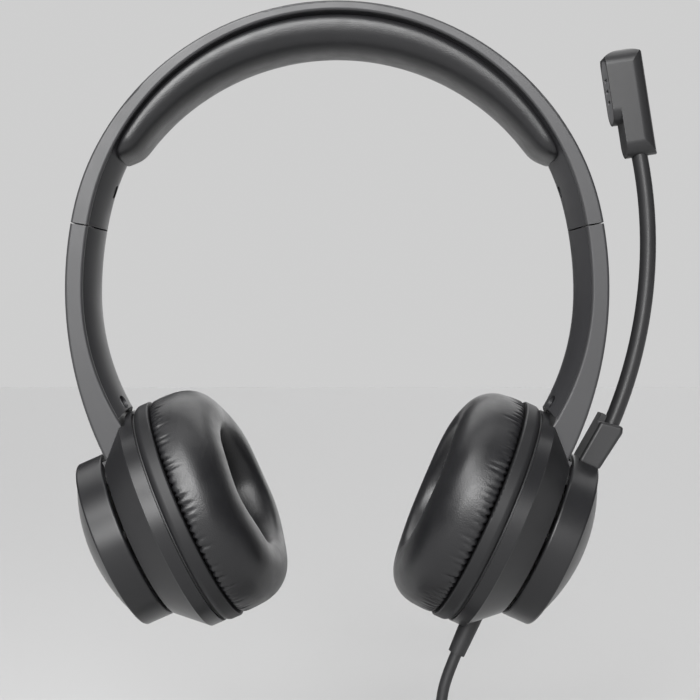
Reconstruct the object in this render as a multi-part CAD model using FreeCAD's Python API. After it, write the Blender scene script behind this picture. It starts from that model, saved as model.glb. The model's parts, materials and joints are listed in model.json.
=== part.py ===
"""Office headset: on-ear cups on a sprung headband, a microphone boom on the left cup, and a USB cord.

Frame: +Z up, +X the wearer's left, -Y the wearer's front. The origin is the middle of the underside
of the headband pad, where the headset rests on the crown of the head. All lengths are millimetres.
"""

import FreeCAD, Part
import math
import os

V = FreeCAD.Vector
X_AXIS = V(1, 0, 0)
Y_AXIS = V(0, 1, 0)
TINY = 1e-6
CUT_MARGIN = 1.0

# ---- Headband: arcs that meet tangentially, angles measured from straight up towards +X ----
BAND_WIDTH = 27.0
OUTER_CENTRE = V(0, 0, -66.0)
OUTER_RADII = (80.8, 74.2, 113.4)
OUTER_BREAKS = (0.0, 62.0, 78.5, 117.0)
INNER_CENTRE = V(0, 0, -62.8)
INNER_RADII = (74.6, 112.0, 74.0)
INNER_BREAKS = (0.0, 77.0, 90.0, 121.0)
SEAM_ANGLE = 80.0
SEAM_DEPTH = 8.0
SEAM_GAP = 0.4
EDGE_RADIUS = 0.8
SKIN = 1.6
SIDE_WALL = 1.5
COVER_THICKNESS = 1.3
COVER_CROWN = 3.3
COVER_PLAY = 0.25
COVER_SINK = 0.6
COVER_SEAM_ANGLE = 97.0
CUT_MARGIN_ANGLE = 4.0
SEAM_BLOCK = 200.0

# ---- Headband pad ----
PAD_CENTRE = V(0, 0, -72.3)
PAD_RADIUS = 72.3
PAD_END_ANGLE = 62.0
PAD_HALF_WIDTH = 12.4
PAD_EDGE_RADIUS = 4.5
PAD_CLEARANCE = 0.3

# ---- Spring strip in the headband ----
SPRING_THICKNESS = 0.6
SPRING_HALF_WIDTH = 8.0
SPRING_END_ANGLE = 45.0

# ---- Curved slide bar: it slides along its own circle, whose centre is the slider's joint axis ----
BAR_RADIUS = 170.0
BAR_THICKNESS = 1.2
BAR_HALF_WIDTH = 5.0
BAR_MID_ANGLE = 65.2
BAR_MID_DEPTH = 4.6
BAR_UP_ANGLE = 7.4
BAR_DOWN_ANGLE = 9.4
BAR_HEAD_HALF_WIDTH = 7.0
BAR_HEAD_ANGLE = 1.2
BAR_PLAY = 0.06
GUIDE_START_ANGLE = 72.0
GUIDE_END_ANGLE = 79.7
GUIDE_HALF_WIDTH = 11.0

# ---- Cover screws: a pan head sunk in a recess, and its shank ----
SCREW_HEAD_RADIUS = 2.1
SCREW_HEAD_HEIGHT = 0.9
SCREW_SHANK_RADIUS = 0.9
SCREW_RECESS_DEPTH = 0.5
BAND_SCREW_ANGLE = 72.0
BAND_SCREW_SHANK = 1.4
ARM_SCREW_ANGLE = 118.0
ARM_SCREW_SHANK = 3.0
ARM_SCREW_OFFSET = 5.0

# ---- Ear cup frame: local x runs from the cap into the ear, local z up along the cup's face ----
CUP_TILT = 24.0
CUP_CENTRE = V(60.4, 0, -144.7)
CAP_GAP = 1.1
BALL_AXIAL = 6.0
FOOT_OUTLINE = ((9.9, 22.0), (7.0, 17.5), (-1.5, 17.5), (-1.5, 24.2), (0.9, 24.2))
FOOT_END = (1.8, 24.2)
FOOT_CLEARANCE = (10.2, 36.2)
FOOT_TOP_CLEARANCE = (-5.1, 0.7)

# ---- Outer cap ----
CAP_RADIUS = 26.5
CAP_DEPTH = 8.7
CAP_WALL = 1.6
CAP_DOME = 6.4
CAP_EDGE_RADIUS = 0.7
CAP_HUB_RADIUS = 6.0
CAP_HUB_WALL = 2.5
CAP_HUB_AXIAL = (-7.5, -3.9)
CAP_WEB = (-6.0, -4.4)
DISC_THICKNESS = 1.5
DISC_LIP = 1.6
CAP_PLAY = 0.02
CAP_SCREW_HEAD = (-9.3, -7.6, 8.0)
CAP_SCREW_SHANK = (-7.6, -4.0, 2.0)
HUB_PLAY = 0.08

# ---- Pivot plate and ball stud ----
PLATE_RADIUS = 21.0
PLATE_AXIAL = (-3.5, -1.5)
STUD_NECK_RADIUS = 2.4
BALL_RADIUS = 4.0
STUD_FLANGE = (-0.3, 6.0)
BUSH_OUTER_RADIUS = 5.6
BUSH_AXIAL = (1.7, 10.3)
BUSH_MOUTH_RADIUS = 3.2
BUSH_MOUTH_DEPTH = 2.4
BALL_PLAY = 0.05

# ---- Ear cup housing and what it carries ----
CONE_RADIUS = 27.2
CUP_RADIUS = 34.8
CONE_END = 9.2
RIM_START = 9.6
RIM_CHAMFER = 0.4
HOUSING_END = 13.6
HOUSING_WALL = 1.8
NOTCH_START = 0.3
NOTCH_END = 11.4
NOTCH_HALF_WIDTH = 14.7
NOTCH_FLOOR = 16.3
NOTCH_WALL = 1.5
SOCKET_RADIUS = 8.5
SOCKET_END = 12.0
SOCKET_MOUTH_RADIUS = 4.2
BAFFLE_END = 15.0
BAFFLE_RADIUS = 33.6
BAFFLE_PLAY = 0.1
RING_RADIUS = 35.3
RING_START = 13.9
RING_END = 19.0
RING_INNER_RADIUS = 29.0
RING_OUTER_ROUND = 2.2
RING_SEAM_ROUND = 0.5
CUSHION_END = 37.0
CUSHION_HOLE_RADIUS = 16.5
CUSHION_EDGE_RADIUS = 8.0
DRIVER_RADIUS = 18.0
DRIVER_FRAME_END = 17.6
DIAPHRAGM_RADIUS = 17.0
DIAPHRAGM_THICKNESS = 0.4
MAGNET_RADIUS = 9.0
MAGNET_AXIAL = (12.4, 16.4)
SCRIM_THICKNESS = 0.6

# ---- Microphone boom, bracket and head ----
BOOM_CENTRE = V(-45.15, 0, -56.5)
BOOM_RADIUS = 140.0
BOOM_ANGLES = (77.5, 115.5)
BOOM_DIAMETER = 4.9
BRACKET_HALF_DEPTH = 7.0
BRACKET_ROUND = 1.0
BRACKET_OUTLINE = ((-1.9, 25.0), (-8.8, 25.0), (-10.9, 38.3), (-10.2, 40.2), (-3.3, 39.0))
BRACKET_WALL_OUTLINE = ((-3.0, 36.0), (-5.2, 36.0), (-5.2, 41.6), (-3.5, 41.6))
BRACKET_WALL_START = -2.0
MIC_LEAN = 8.8
MIC_INNER = 79.9
MIC_OUTER = 91.7
MIC_STEP = 82.4
MIC_TOP = -12.5
MIC_DOME = 1.9
MIC_STEP_LEVEL = -33.3
MIC_BOTTOM = -43.7
MIC_DEPTH = 9.6
MIC_CORNER = 4.6
MIC_FRONT_ROUND = 3.8
MIC_FACE_THICKNESS = 1.0
MIC_FACE_MARGIN = 0.8
MIC_HOLES = (-19.3, -22.7, -26.1)
MIC_HOLE_RADIUS = 0.6
MIC_HOLE_HALF_LENGTH = 1.3
MIC_HOLE_END_FLAT = 0.02
CAPSULE_RADIUS = 3.0
CAPSULE_LENGTH = 2.7
CAPSULE_PLAY = 0.4
CAPSULE_SPACE = 1.3

# ---- Cord: a free run from the left cup, then a tied coil and a USB plug ----
CORD_DIAMETER = 3.5
CORD_AXIAL = 7.0
SLEEVE_INNER_LEVEL = 29.5
SLEEVE_OUTER_LEVEL = 43.5
SLEEVE_RADII = (3.1, 2.6)
CORD_ROUTE = (
    V(36.31, 0, -181.59),
    V(32.95, 0, -189.40),
    V(31.50, 0, -197.20),
    V(31.40, 0, -205.20),
    V(31.75, 0, -213.80),
)
COIL_CENTRE = V(6.5, 0, -227.0)
COIL_LAYERS = 4
COIL_MEAN_RADIUS = 20.0
TIE_HALF_LENGTH = 4.0
TIE_THICKNESS = 1.2
PLUG_START = -14.0
PLUG_BODY_END = -44.0
PLUG_SHELL_END = -56.0
PLUG_HALF_WIDTH = 8.0
PLUG_HALF_HEIGHT = 4.0
PLUG_EDGE_RADIUS = 2.0
PLUG_RELIEF_RADII = (3.0, 2.4)
PLUG_RELIEF_LENGTH = 10.0
PLUG_RELIEF_DROP = 1.0
USB_WIDTH = 12.0
USB_HEIGHT = 4.5
USB_WALL = 0.3
USB_TONGUE_LENGTH = 9.0
USB_TONGUE_HEIGHT = 1.9
CORD_BEND_REACH = 0.45


# ---------------------------------------------------------------- helpers

def polar(centre, radius, angle):
    """The point at a radius and an angle from straight up, in the XZ plane."""
    turn = math.radians(angle)
    return V(centre.x + radius * math.sin(turn), centre.y, centre.z + radius * math.cos(turn))


def tangent_chain(centre, radii, breaks):
    """Arcs that meet tangentially, as (centre, radius, start angle, end angle)."""
    arcs = []
    for index, radius in enumerate(radii):
        if index:
            centre = polar(centre, radii[index - 1] - radius, breaks[index])
        arcs.append((centre, radius, breaks[index], breaks[index + 1]))
    return arcs


def arc_edge(centre, radius, start, end):
    middle = polar(centre, radius, (start + end) / 2)
    return Part.Arc(polar(centre, radius, start), middle, polar(centre, radius, end)).toShape()


def extruded(edges, half_width):
    """A closed outline in the XZ plane, thickened to both sides of it."""
    wire = Part.Wire(Part.__sortEdges__(edges))
    face = Part.Face(wire)
    face.translate(V(0, -half_width, 0))
    return face.extrude(V(0, 2 * half_width, 0))


def polygon(points, half_width):
    """A straight-sided outline of (x, z) points, thickened to both sides of the XZ plane."""
    corners = [V(x, 0, z) for x, z in points]
    wire = Part.makePolygon(corners + [corners[0]])
    return extruded(wire.Edges, half_width)


def turned(points):
    """A solid of revolution about local x, from (x, radius) points."""
    corners = [V(x, 0, radius) for x, radius in points]
    face = Part.Face(Part.makePolygon(corners + [corners[0]]))
    return face.revolve(V(0, 0, 0), X_AXIS, 360)


def cap_of_ball(rim_axial, rim_radius, height):
    """A solid spherical cap about local x that bulges away from the ear."""
    ball_radius = (rim_radius ** 2 + height ** 2) / (2 * height)
    sphere = Part.makeSphere(ball_radius, V(rim_axial - height + ball_radius, 0, 0))
    return sphere.common(disc(rim_axial - height - CUT_MARGIN, rim_axial, rim_radius + CUT_MARGIN))


def disc(start, end, radius, hole=0.0):
    """A disc or ring about local x."""
    solid = Part.makeCylinder(radius, end - start, V(start, 0, 0), X_AXIS)
    if hole:
        solid = solid.cut(Part.makeCylinder(hole, end - start, V(start, 0, 0), X_AXIS))
    return solid


def ball(radius):
    return Part.makeSphere(radius, V(BALL_AXIAL, 0, 0))


def fused(shapes):
    return shapes[0].multiFuse(shapes[1:]).removeSplitter()


def mirrored(shape):
    return shape.mirror(V(0, 0, 0), X_AXIS)


def in_left_cup(shape):
    """Moves a shape from the cup's local frame to the left cup."""
    placed = shape.copy()
    placed.rotate(V(0, 0, 0), Y_AXIS, -CUP_TILT)
    placed.translate(V(-CUP_CENTRE.x, 0, CUP_CENTRE.z))
    return mirrored(placed)


def from_cup(axial, radial):
    """The world (x, z) point of the left cup's local (x, z)."""
    tilt = math.radians(CUP_TILT)
    x = CUP_CENTRE.x - axial * math.cos(tilt) + radial * math.sin(tilt)
    z = CUP_CENTRE.z + axial * math.sin(tilt) + radial * math.cos(tilt)
    return V(x, 0, z)


def filleted(shape, radius, wanted):
    """Rounds the edges that the test picks."""
    return shape.makeFillet(radius, [edge for edge in shape.Edges if wanted(edge)])


def both_sides(nodes, name, left_shape):
    nodes["left_" + name] = left_shape
    nodes["right_" + name] = mirrored(left_shape)


# ---------------------------------------------------------------- headband and arms

OUTER = tangent_chain(OUTER_CENTRE, OUTER_RADII, OUTER_BREAKS)
INNER = tangent_chain(INNER_CENTRE, INNER_RADII, INNER_BREAKS)
SEAM_OUTER = polar(OUTER[2][0], OUTER[2][1], SEAM_ANGLE)
SEAM_INNER = SEAM_OUTER - polar(V(0, 0, 0), SEAM_DEPTH, SEAM_ANGLE)
BAR_CENTRE = polar(
    polar(OUTER[1][0], OUTER[1][1] - BAR_MID_DEPTH, BAR_MID_ANGLE), -BAR_RADIUS, BAR_MID_ANGLE
)


def chain_band(outer, inner, outer_inset, inner_inset, start, half_width):
    """A band between two chains of arcs, from the start angle to the ends of both chains."""
    edges = []
    for centre, radius, first, last in outer:
        edges.append(arc_edge(centre, radius - outer_inset, max(first, start), last))
    for centre, radius, first, last in inner:
        edges.append(arc_edge(centre, radius - inner_inset, max(first, start), last))
    ends = []
    for chain, inset in ((outer, outer_inset), (inner, inner_inset)):
        ends.append((polar(chain[0][0], chain[0][1] - inset, start),
                     polar(chain[-1][0], chain[-1][1] - inset, chain[-1][3])))
    edges.append(Part.makeLine(ends[0][0], ends[1][0]))
    edges.append(Part.makeLine(ends[0][1], ends[1][1]))
    return extruded(edges, half_width)


def below(point, angle, gap):
    """A block that holds everything below a slanted plane through a point, a gap away from it."""
    size = SEAM_BLOCK
    block = Part.makeBox(2 * size, 2 * size, size, V(-size, -size, -size - gap))
    block.rotate(V(0, 0, 0), Y_AXIS, angle - 90.0)
    block.translate(point)
    return block


def below_seam(gap):
    """The arm's side of the shell's seam."""
    return below(SEAM_OUTER, SEAM_ANGLE, gap)


def below_cover_seam(gap):
    """The arm's side of the cover's seam, which turns up from the shell's seam."""
    return fused([below_seam(gap), below(SEAM_INNER, COVER_SEAM_ANGLE, gap)])


def long_edges(shape, radius, side):
    """The rounded-over edges: those that lie wholly on one side face of the band."""
    def wanted(edge):
        on_side = all(abs(abs(vertex.Point.y) - side) < TINY for vertex in edge.Vertexes)
        return on_side and edge.Curve.TypeId == "Part::GeomCircle"
    return filleted(shape, radius, wanted)


def crown_section(centre, radius, angle, solid_back, play):
    """The cover's section at an angle: a shallow crown, hollow unless it has a solid back."""
    half = BAND_WIDTH / 2 - SIDE_WALL - play
    back = COVER_SINK if solid_back else COVER_THICKNESS

    def at(level, y):
        point = polar(centre, radius - level, angle)
        return V(point.x, y, point.z)

    crown = Part.Arc(at(0, -half), at(COVER_CROWN, 0), at(0, half)).toShape()
    inside = Part.makeLine(at(-back, -half), at(-back, half))
    if not solid_back:
        inside = Part.Arc(at(-back, -half), at(COVER_CROWN - back, 0), at(-back, half)).toShape()
    sides = [Part.makeLine(at(0, y), at(-back, y)) for y in (-half, half)]
    return Part.Face(Part.Wire(Part.__sortEdges__([crown, inside] + sides)))


def crown_sweep(chain, start, end, solid_back, play=COVER_PLAY):
    """The crowned cover along a chain of arcs between two angles."""
    runs = []
    for centre, radius, first, last in chain:
        first = max(first, start)
        last = min(last, end)
        if last > first:
            section = crown_section(centre, radius, first, solid_back, play)
            runs.append(section.revolve(centre, Y_AXIS, last - first))
    return fused(runs) if len(runs) > 1 else runs[0]


def bar_strip(start, end, half_width, play):
    """A curved strip of the slide bar between two angles, grown by a play on every side face."""
    inner = BAR_RADIUS - BAR_THICKNESS / 2 - play
    outer = BAR_RADIUS + BAR_THICKNESS / 2 + play
    edges = [arc_edge(BAR_CENTRE, inner, start, end), arc_edge(BAR_CENTRE, outer, start, end)]
    for angle in (start, end):
        edges.append(Part.makeLine(polar(BAR_CENTRE, inner, angle), polar(BAR_CENTRE, outer, angle)))
    return extruded(edges, half_width + play)


def slide_bar(play):
    return bar_strip(BAR_MID_ANGLE - BAR_UP_ANGLE, BAR_MID_ANGLE + BAR_DOWN_ANGLE, BAR_HALF_WIDTH, play)


def slide_bar_head():
    """The wide stop at the bar's upper end."""
    start = BAR_MID_ANGLE - BAR_UP_ANGLE
    return bar_strip(start, start + BAR_HEAD_ANGLE, BAR_HEAD_HALF_WIDTH, 0.0)


def cover_screw(centre, radius, angle, shank_length, offset):
    """A small pan-head screw sunk below the crown, and the recess over its head."""
    half = BAND_WIDTH / 2 - SIDE_WALL - COVER_PLAY
    crown = COVER_CROWN * (1 - (offset / half) ** 2)
    top = polar(centre, radius - crown, angle)
    top.y = offset
    outward = polar(V(0, 0, 0), 1.0, angle)
    above = SCREW_RECESS_DEPTH + CUT_MARGIN
    hole = Part.makeCylinder(SCREW_HEAD_RADIUS, above + SCREW_HEAD_HEIGHT, top - outward, outward)
    head = Part.makeCylinder(SCREW_HEAD_RADIUS, SCREW_HEAD_HEIGHT,
                             top + outward * SCREW_RECESS_DEPTH, outward)
    seat = SCREW_RECESS_DEPTH + SCREW_HEAD_HEIGHT
    shank = Part.makeCylinder(SCREW_SHANK_RADIUS, shank_length, top + outward * seat, outward)
    return fused([head, shank]), hole


def strip_under(centre, radius, thickness, end_angle, half_width):
    """A curved strip that lies against the inside of an arc, from end to end of it."""
    edges = [
        arc_edge(centre, radius - thickness, -end_angle, end_angle),
        arc_edge(centre, radius, -end_angle, end_angle),
    ]
    for angle in (-end_angle, end_angle):
        edges.append(Part.makeLine(polar(centre, radius - thickness, angle), polar(centre, radius, angle)))
    return extruded(edges, half_width)


def half_chains(margin):
    """The outer and inner chains from the middle of the band to a margin past the seam."""
    outer = OUTER[:2] + [OUTER[2][:3] + (SEAM_ANGLE + margin,)]
    inner = [INNER[0], INNER[1][:3] + (SEAM_ANGLE + margin,)]
    return outer, inner


def headband(nodes):
    outer, inner = half_chains(CUT_MARGIN_ANGLE)
    half = chain_band(outer, inner, 0.0, 0.0, 0.0, BAND_WIDTH / 2)
    half = half.cut(below_seam(0.0))
    band = long_edges(fused([half, mirrored(half)]), EDGE_RADIUS, BAND_WIDTH / 2)
    outer, inner = half_chains(2 * CUT_MARGIN_ANGLE)
    pocket = chain_band(outer, inner, SKIN, COVER_CROWN, 0.0, BAND_WIDTH / 2 - SIDE_WALL)
    nodes["headband_shell"] = band.cut(pocket).cut(mirrored(pocket))

    half = crown_sweep(INNER, 0.0, SEAM_ANGLE + CUT_MARGIN_ANGLE, False).cut(below_cover_seam(0.0))
    cover = fused([half, mirrored(half)])
    screw, hole = cover_screw(INNER[0][0], INNER[0][1], BAND_SCREW_ANGLE, BAND_SCREW_SHANK, 0.0)
    for tool in (hole, screw):
        cover = cover.cut(tool).cut(mirrored(tool))
    nodes["headband_cover"] = cover
    both_sides(nodes, "band_screw", screw)
    both_sides(nodes, "slide_guide", slide_guide(cover, screw))
    nodes["headband_spring"] = strip_under(OUTER_CENTRE, OUTER_RADII[0] - SKIN, SPRING_THICKNESS,
                                           SPRING_END_ANGLE, SPRING_HALF_WIDTH)


def slide_guide(cover, screw):
    """The guide that fills the band's end around the bar."""
    outer = [OUTER[1], OUTER[2][:3] + (GUIDE_END_ANGLE,)]
    inner = [INNER[0], INNER[1][:3] + (GUIDE_END_ANGLE,)]
    block = chain_band(outer, inner, SKIN, COVER_CROWN, GUIDE_START_ANGLE, GUIDE_HALF_WIDTH)
    crown = crown_sweep(INNER, GUIDE_START_ANGLE - CUT_MARGIN_ANGLE, SEAM_ANGLE + CUT_MARGIN_ANGLE, True)
    core = chain_band(outer, inner, SKIN, 0.0, GUIDE_START_ANGLE, GUIDE_HALF_WIDTH)
    guide = block.cut(below_cover_seam(0.0)).common(fused([core, crown]))
    guide = guide.cut(cover).cut(slide_bar(BAR_PLAY)).cut(screw)
    return max(guide.Solids, key=lambda solid: solid.Volume)


def headband_pad():
    """The soft pad: thick at the crown of the head and thinner towards its rounded ends."""
    end = polar(PAD_CENTRE, PAD_RADIUS, PAD_END_ANGLE)
    back = INNER_RADII[0] - PAD_CLEARANCE
    reach = math.degrees(math.atan2(end.x, end.z - INNER_CENTRE.z))
    edges = [
        arc_edge(INNER_CENTRE, back, -reach, reach),
        arc_edge(PAD_CENTRE, PAD_RADIUS, -PAD_END_ANGLE, PAD_END_ANGLE),
    ]
    for side in (-1, 1):
        edges.append(Part.makeLine(polar(INNER_CENTRE, back, side * reach),
                                   polar(PAD_CENTRE, PAD_RADIUS, side * PAD_END_ANGLE)))
    block = extruded(edges, PAD_HALF_WIDTH)

    def on_face(edge):
        return all(abs(vertex.Point.distanceToPoint(V(0, vertex.Point.y, PAD_CENTRE.z)) - PAD_RADIUS)
                   < TINY for vertex in edge.Vertexes)
    crown = crown_sweep(INNER[:1], 0.0, INNER_BREAKS[1], True)
    return filleted(block, PAD_EDGE_RADIUS, on_face).cut(crown).cut(mirrored(crown))


def arm(nodes):
    """The left arm from the seam to its foot in the notch of the cup's housing."""
    start = SEAM_ANGLE - CUT_MARGIN_ANGLE
    chain = OUTER[2]
    end_angle = 90.0 + math.degrees(math.asin((chain[0].z - from_cup(*FOOT_END).z) / chain[1]))
    inner = [INNER[1], INNER[2]]
    edges = [arc_edge(chain[0], chain[1], start, end_angle), arc_edge(*inner[0]), arc_edge(*inner[1])]
    edges.append(Part.makeLine(polar(chain[0], chain[1], start), polar(*INNER[1][:3])))
    corners = [polar(INNER[2][0], INNER[2][1], INNER[2][3])]
    corners += [from_cup(*point) for point in FOOT_OUTLINE]
    corners.append(polar(chain[0], chain[1], end_angle))
    edges += [Part.makeLine(a, b) for a, b in zip(corners, corners[1:])]
    cap_space = in_left_cup(disc(*FOOT_TOP_CLEARANCE, CUP_RADIUS * 2, FOOT_END[1]))
    cup_space = in_left_cup(disc(FOOT_CLEARANCE[0], CUSHION_END, FOOT_CLEARANCE[1]))
    solid = extruded(edges, BAND_WIDTH / 2).common(below_seam(SEAM_GAP))
    solid = long_edges(solid, EDGE_RADIUS, BAND_WIDTH / 2).cut(cap_space).cut(cup_space)

    bar = fused([slide_bar(0.0), slide_bar_head()])
    solid = solid.cut(crown_sweep(INNER, SEAM_ANGLE - CUT_MARGIN_ANGLE, INNER_BREAKS[3], True, 0.0))
    cover = crown_sweep(INNER, SEAM_ANGLE - CUT_MARGIN_ANGLE, INNER_BREAKS[3], True)
    cover = cover.common(below_cover_seam(SEAM_GAP)).cut(slide_bar(0.0)).cut(cup_space)
    screws = []
    for side in (-1, 1):
        screw, hole = cover_screw(INNER[2][0], INNER[2][1], ARM_SCREW_ANGLE, ARM_SCREW_SHANK,
                                  side * ARM_SCREW_OFFSET)
        cover = cover.cut(hole).cut(screw)
        solid = solid.cut(screw)
        screws.append(screw)
    both_sides(nodes, "arm_screws", Part.makeCompound(screws))
    both_sides(nodes, "arm_cover", max(cover.Solids, key=lambda piece: piece.Volume))
    both_sides(nodes, "arm_shell", solid.cut(bar))
    both_sides(nodes, "slide_bar", bar)


# ---------------------------------------------------------------- cap, pivot and ball joint

def cap(nodes):
    rim = CAP_RADIUS - CAP_WALL
    drum = disc(-CAP_DEPTH, 0.0, CAP_RADIUS, rim)
    drum = filleted(drum, CAP_EDGE_RADIUS, lambda edge: abs(edge.BoundBox.ZMax - CAP_RADIUS) < TINY)
    web = disc(CAP_WEB[0], CAP_WEB[1], rim, CAP_HUB_RADIUS)
    hub = disc(CAP_HUB_AXIAL[0], CAP_HUB_AXIAL[1], CAP_HUB_RADIUS + CAP_HUB_WALL, CAP_HUB_RADIUS)
    both_sides(nodes, "cap_ring", in_left_cup(fused([drum, web, hub])))

    outside = cap_of_ball(-CAP_DEPTH, rim - CAP_PLAY, CAP_DOME)
    inside = cap_of_ball(-CAP_DEPTH, rim - CAP_PLAY - DISC_LIP, CAP_DOME - DISC_THICKNESS)
    lip = disc(-CAP_DEPTH, -CAP_DEPTH + DISC_LIP, rim - CAP_PLAY, rim - CAP_PLAY - DISC_LIP)
    both_sides(nodes, "cap_disc", in_left_cup(fused([outside.cut(inside), lip])))

    screw = fused([disc(*CAP_SCREW_HEAD), disc(*CAP_SCREW_SHANK)])
    both_sides(nodes, "cap_screw", in_left_cup(screw))

    plate = fused([disc(PLATE_AXIAL[0], PLATE_AXIAL[1], PLATE_RADIUS),
                   disc(CAP_SCREW_HEAD[1], PLATE_AXIAL[0], CAP_HUB_RADIUS - HUB_PLAY)])
    both_sides(nodes, "pivot_plate", in_left_cup(plate.cut(screw)))

    stud = fused([disc(PLATE_AXIAL[1], *STUD_FLANGE), disc(STUD_FLANGE[0], BALL_AXIAL, STUD_NECK_RADIUS),
                  ball(BALL_RADIUS)])
    both_sides(nodes, "ball_stud", in_left_cup(stud))

    bush = ball(BUSH_OUTER_RADIUS).cut(ball(BALL_RADIUS + BALL_PLAY))
    bush = bush.cut(disc(-CUT_MARGIN, BALL_AXIAL - BUSH_MOUTH_DEPTH, BUSH_MOUTH_RADIUS))
    bush = bush.common(disc(BUSH_AXIAL[0], BUSH_AXIAL[1], BUSH_OUTER_RADIUS + CUT_MARGIN))
    both_sides(nodes, "ball_bush", in_left_cup(bush))


# ---------------------------------------------------------------- ear cups

def bush_space():
    return ball(BUSH_OUTER_RADIUS + BALL_PLAY)


def housing_shell():
    """The cone and rim of the cup, with a tub for the arm's foot and a socket for the ball bush."""
    wall = HOUSING_WALL
    outer = turned([(CAP_GAP, 0.0), (CAP_GAP, CONE_RADIUS), (CONE_END, CUP_RADIUS - RIM_CHAMFER),
                    (RIM_START, CUP_RADIUS), (HOUSING_END, CUP_RADIUS), (HOUSING_END, 0.0)])
    inside = turned([(CAP_GAP + wall, 0.0), (CAP_GAP + wall, CONE_RADIUS - wall),
                     (CONE_END, CUP_RADIUS - RIM_CHAMFER - wall), (HOUSING_END, CUP_RADIUS - wall),
                     (HOUSING_END, 0.0)])
    height = CUP_RADIUS
    notch = Part.makeBox(NOTCH_END - NOTCH_START, 2 * NOTCH_HALF_WIDTH, height,
                         V(NOTCH_START, -NOTCH_HALF_WIDTH, NOTCH_FLOOR))
    tub = Part.makeBox(HOUSING_END - CAP_GAP, 2 * (NOTCH_HALF_WIDTH + NOTCH_WALL), height,
                       V(CAP_GAP, -NOTCH_HALF_WIDTH - NOTCH_WALL, NOTCH_FLOOR - NOTCH_WALL))
    boss = disc(CAP_GAP, BALL_AXIAL, SOCKET_RADIUS)
    shell = fused([outer.cut(inside), tub.common(outer), boss]).cut(notch)
    return shell.cut(bush_space()).cut(disc(0.0, BALL_AXIAL, SOCKET_MOUTH_RADIUS))


def cushion_ring():
    """The ring that the cushion's skirt is stretched over: a rounded band with a clip rim behind it."""
    band = disc(RING_START, RING_END, RING_RADIUS)
    for level, radius in ((RING_START, RING_OUTER_ROUND), (RING_END, RING_SEAM_ROUND)):
        band = filleted(band, radius, lambda edge: abs(edge.BoundBox.XMin - level) < TINY
                        and abs(edge.BoundBox.XMax - level) < TINY)
    return band.cut(disc(RING_START, BAFFLE_END, BAFFLE_RADIUS + BAFFLE_PLAY)).cut(
        disc(BAFFLE_END, RING_END, RING_INNER_RADIUS))


def ear_cushion():
    cushion = disc(RING_END, CUSHION_END, CUP_RADIUS, CUSHION_HOLE_RADIUS)
    return filleted(cushion, CUSHION_EDGE_RADIUS, lambda edge: abs(edge.BoundBox.XMin - CUSHION_END) < TINY
                    and edge.Curve.TypeId == "Part::GeomCircle")


def cup(nodes):
    housing = housing_shell()
    length = SLEEVE_OUTER_LEVEL - SLEEVE_INNER_LEVEL
    sleeve = Part.makeCone(SLEEVE_RADII[0], SLEEVE_RADII[1], length,
                           V(CORD_AXIAL, 0, -SLEEVE_INNER_LEVEL), V(0, 0, -1))
    nodes["right_housing"] = mirrored(in_left_cup(housing))
    nodes["left_housing"] = in_left_cup(housing.cut(sleeve))
    nodes["strain_relief"] = in_left_cup(sleeve)
    scrim_start = RING_END - SCRIM_THICKNESS
    pieces = {
        "socket_retainer": disc(BALL_AXIAL, SOCKET_END, SOCKET_RADIUS).cut(bush_space()),
        "baffle": disc(HOUSING_END, BAFFLE_END, BAFFLE_RADIUS, MAGNET_RADIUS),
        "driver_magnet": disc(MAGNET_AXIAL[0], MAGNET_AXIAL[1], MAGNET_RADIUS),
        "driver_frame": disc(BAFFLE_END, DRIVER_FRAME_END, DRIVER_RADIUS, MAGNET_RADIUS),
        "driver_diaphragm": disc(DRIVER_FRAME_END, DRIVER_FRAME_END + DIAPHRAGM_THICKNESS, DIAPHRAGM_RADIUS),
        "cushion_ring": cushion_ring(),
        "speaker_scrim": disc(scrim_start, RING_END, RING_INNER_RADIUS),
        "ear_cushion": ear_cushion(),
    }
    for name, shape in pieces.items():
        both_sides(nodes, name, in_left_cup(shape))


# ---------------------------------------------------------------- microphone

def in_mic(shape):
    """Moves a shape from the microphone's leaning frame, whose origin is the world's."""
    placed = shape.copy()
    placed.rotate(V(0, 0, 0), Y_AXIS, -MIC_LEAN)
    return placed


def lozenge(inner, outer, bottom, top, depth, corner):
    """A block seen from the side as a rounded lozenge, from an inner to an outer face."""
    block = Part.makeBox(outer - inner, depth, top - bottom, V(inner, -depth / 2, bottom))
    return filleted(block, corner, lambda edge: edge.BoundBox.XLength > outer - inner - TINY)


def microphone_boom():
    """The round rod of the boom, along one arc."""
    start = polar(BOOM_CENTRE, BOOM_RADIUS, BOOM_ANGLES[0])
    along = polar(V(0, 0, 0), 1.0, BOOM_ANGLES[0] + 90.0)
    circle = Part.Face(Part.Wire(Part.makeCircle(BOOM_DIAMETER / 2, start, along)))
    return circle.revolve(BOOM_CENTRE, Y_AXIS, BOOM_ANGLES[1] - BOOM_ANGLES[0])


def boom_bracket(boom):
    """The block that holds the boom's lower end against the cap, with a taller inner wall."""
    corners = [from_cup(*point) for point in BRACKET_OUTLINE]
    block = polygon([(corner.x, corner.z) for corner in corners], BRACKET_HALF_DEPTH)
    block = filleted(block, BRACKET_ROUND, lambda edge: edge.Length > 2 * BRACKET_ROUND)
    corners = [from_cup(*point) for point in BRACKET_WALL_OUTLINE]
    wall = polygon([(corner.x, corner.z) for corner in corners], BRACKET_HALF_DEPTH - BRACKET_ROUND)
    front = Part.makeBox(4 * CUP_RADIUS, BRACKET_HALF_DEPTH, 4 * CUP_RADIUS)
    front.translate(V(0, BRACKET_WALL_START - BRACKET_HALF_DEPTH, CUP_CENTRE.z))
    bracket = fused([block, wall.cut(front)])
    return bracket.cut(in_left_cup(disc(-CAP_DEPTH - CAP_DOME, CAP_GAP, CAP_RADIUS))).cut(boom)


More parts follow.
